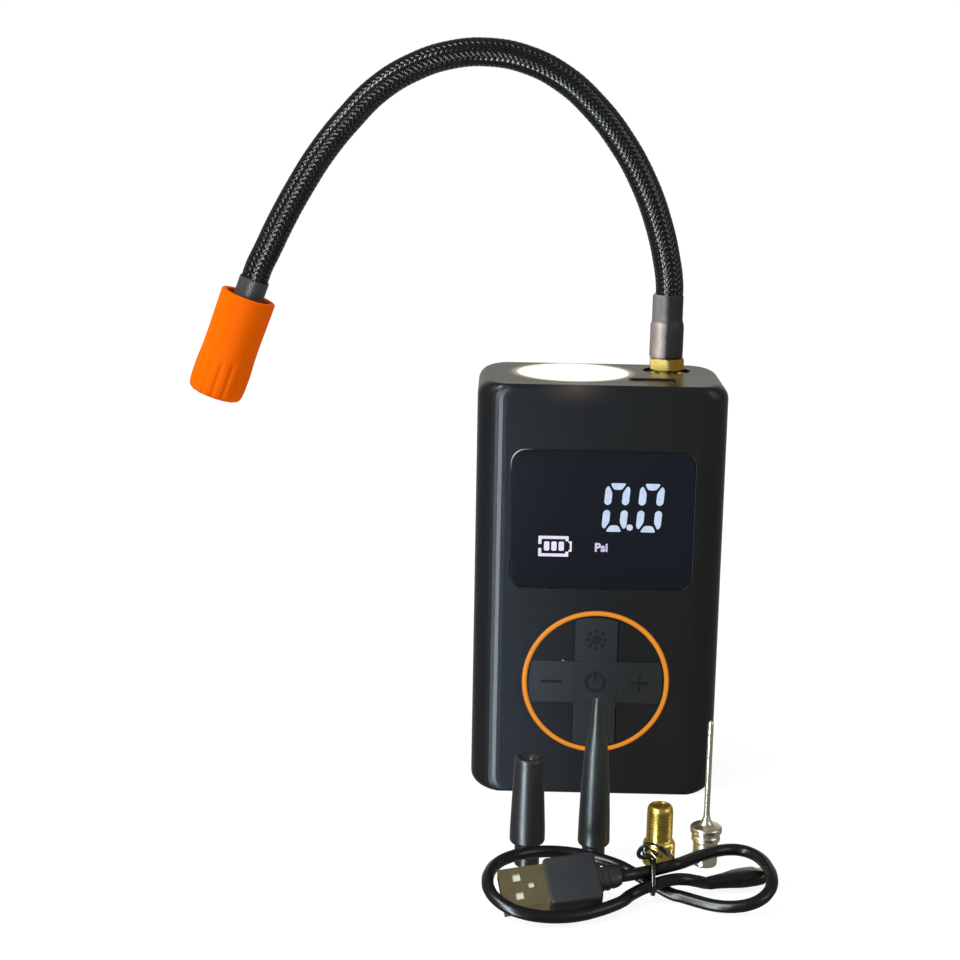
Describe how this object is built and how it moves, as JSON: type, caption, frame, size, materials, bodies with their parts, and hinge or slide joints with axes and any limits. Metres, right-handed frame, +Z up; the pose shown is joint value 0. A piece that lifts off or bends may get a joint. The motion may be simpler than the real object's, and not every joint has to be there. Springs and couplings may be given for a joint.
{
  "type": "portable tire inflator",
  "caption": "Hand-held battery tire inflator with display, key cross, torch, braided air hose, screw-on valve chuck, loose nozzles, ball needle and charging cable.",
  "frame": {"origin": "centre of the housing underside, on the surface that the inflator and its loose kit stand on", "axes": "+Z up along the housing, +X to the right and -Y out of the display face"},
  "size_m": [0.1798, 0.1438, 0.2333],
  "materials": {
    "housing_black": "satin moulded plastic, fine grain",
    "cover_black": "satin moulded plastic, fine grain",
    "blackened_steel": "blackened steel",
    "window_pane": "polished dark acrylic",
    "accent_orange": "smooth gloss",
    "key_black": "smooth gloss with pale printed signs",
    "display_frame": "moulded",
    "board_green": "lacquered glass-fibre board",
    "zinc_steel": "zinc plated",
    "switch_body": "moulded",
    "lens_clear": "frosted clear",
    "reflector_chrome": "metallised",
    "white_board": "white lacquer",
    "tray_plastic": "moulded",
    "cell_wrap": "shrunk film",
    "ferrite": "sintered",
    "cap_plastic": "moulded",
    "winding_copper": "lacquered wire on laminated steel",
    "brass": "turned",
    "cast_alloy": "die cast",
    "gear_steel": "sintered steel",
    "seal_rubber": "moulded rubber",
    "plug_nickel": "nickel plated, warm reflections",
    "shrink_sleeve": "smooth shrunk sleeve",
    "hose_braid": "glossy braided yarn",
    "grip_orange": "smooth gloss",
    "nozzle_black": "moulded",
    "needle_nickel": "satin nickel",
    "cable_black": "smooth flexible jacket",
    "plug_grey": "moulded",
    "tie_black": "coated wire twist tie"
  },
  "bodies": {
    "housing": {"rear_housing": "housing_black", "front_cover": "cover_black", "case_screws": "blackened_steel", "display_window": "window_pane", "accent_ring": "accent_orange", "display_module": "display_frame", "control_board": "board_green", "small_screws": "zinc_steel", "key_switches": "switch_body", "pressure_sensor": "display_frame", "torch_lens": "lens_clear", "torch_reflector": "reflector_chrome", "torch_board": "white_board", "battery_tray": "tray_plastic", "battery_cells": "cell_wrap", "cell_strips": "zinc_steel", "motor_can": "zinc_steel", "motor_magnets": "ferrite", "motor_end_cap": "cap_plastic", "compressor_frame": "cast_alloy", "crank_axle": "zinc_steel", "cylinder_barrel": "cast_alloy", "head_gasket": "seal_rubber", "cylinder_head": "cast_alloy", "head_screws": "blackened_steel", "air_tube": "seal_rubber", "hose_socket": "brass", "usb_port_shell": "plug_nickel", "usb_port_tongue": "white_board", "usb_inlet": "plug_nickel"},
    "light_key": {"key_light": "key_black"},
    "minus_key": {"key_minus": "key_black"},
    "power_key": {"key_power": "key_black"},
    "plus_key": {"key_plus": "key_black"},
    "mode_key": {"key_mode": "key_black"},
    "motor_rotor": {"motor_armature": "winding_copper", "motor_shaft": "zinc_steel", "pinion_gear": "brass"},
    "crank": {"crank_gear": "gear_steel"},
    "piston": {"piston_rod": "cast_alloy", "piston_cup": "cap_plastic"},
    "hose_assembly": {"hose_nut": "brass", "hose_sleeve": "shrink_sleeve", "air_hose": "hose_braid", "hose_tip_sleeve": "shrink_sleeve", "hose_barb": "brass", "chuck_gasket": "seal_rubber"},
    "chuck": {"chuck_grip": "grip_orange", "chuck_insert": "brass"},
    "short_nozzle_part": {"short_nozzle": "nozzle_black"},
    "long_nozzle_part": {"long_nozzle": "nozzle_black"},
    "adapter_part": {"valve_adapter": "brass"},
    "needle_part": {"ball_needle": "needle_nickel"},
    "cable_part": {"usb_cable": "cable_black", "usb_a_shell": "plug_nickel", "usb_a_moulding": "plug_grey", "usb_c_shell": "plug_nickel", "usb_c_moulding": "cable_black", "cable_tie": "tie_black"}
  },
  "joints": [
    {"name": "light_press", "type": "slide", "parent": "housing", "child": "light_key", "axis": [0, 1, 0], "range_m": [0, 0.0006], "stiffness_N_per_m": 500},
    {"name": "minus_press", "type": "slide", "parent": "housing", "child": "minus_key", "axis": [0, 1, 0], "range_m": [0, 0.0006], "stiffness_N_per_m": 500},
    {"name": "power_press", "type": "slide", "parent": "housing", "child": "power_key", "axis": [0, 1, 0], "range_m": [0, 0.0006], "stiffness_N_per_m": 500},
    {"name": "plus_press", "type": "slide", "parent": "housing", "child": "plus_key", "axis": [0, 1, 0], "range_m": [0, 0.0006], "stiffness_N_per_m": 500},
    {"name": "mode_press", "type": "slide", "parent": "housing", "child": "mode_key", "axis": [0, 1, 0], "range_m": [0, 0.0006], "stiffness_N_per_m": 500},
    {"name": "crank_turn", "type": "hinge", "parent": "housing", "child": "crank", "pos_m": [0.001, -0.00419, 0.056], "axis": [1, 0, 0], "continuous": true},
    {"name": "motor_turn", "type": "hinge", "parent": "housing", "child": "motor_rotor", "pos_m": [-0.01, 0.00731, 0.056], "axis": [1, 0, 0], "continuous": true},
    {"name": "piston_stroke", "type": "slide", "parent": "housing", "child": "piston", "axis": [0, 0, 1], "range_m": [0, 0.008]},
    {"name": "hose_turn", "type": "hinge", "parent": "housing", "child": "hose_assembly", "pos_m": [0.0212, 0.00975, 0.1305], "axis": [0, 0, 1], "range_deg": [-180, 180]},
    {"name": "chuck_turn", "type": "hinge", "parent": "hose_assembly", "child": "chuck", "pos_m": [-0.11676, 0.00975, 0.13878], "axis": [-0.3379, 0, -0.9412], "continuous": true},
    {"name": "short_nozzle_lift", "type": "slide", "parent": "housing", "child": "short_nozzle_part", "axis": [0, 0, 1], "range_m": [0, 0.06]},
    {"name": "long_nozzle_lift", "type": "slide", "parent": "housing", "child": "long_nozzle_part", "axis": [0, 0, 1], "range_m": [0, 0.06]},
    {"name": "adapter_lift", "type": "slide", "parent": "housing", "child": "adapter_part", "axis": [0, 0, 1], "range_m": [0, 0.06]},
    {"name": "needle_lift", "type": "slide", "parent": "housing", "child": "needle_part", "axis": [0, 0, 1], "range_m": [0, 0.06]},
    {"name": "cable_lift", "type": "slide", "parent": "housing", "child": "cable_part", "axis": [0, 0, 1], "range_m": [0, 0.06]}
  ],
  "couplings": [
    {"joint": "motor_turn", "follows": "crank_turn", "ratio": -3.6}
  ]
}
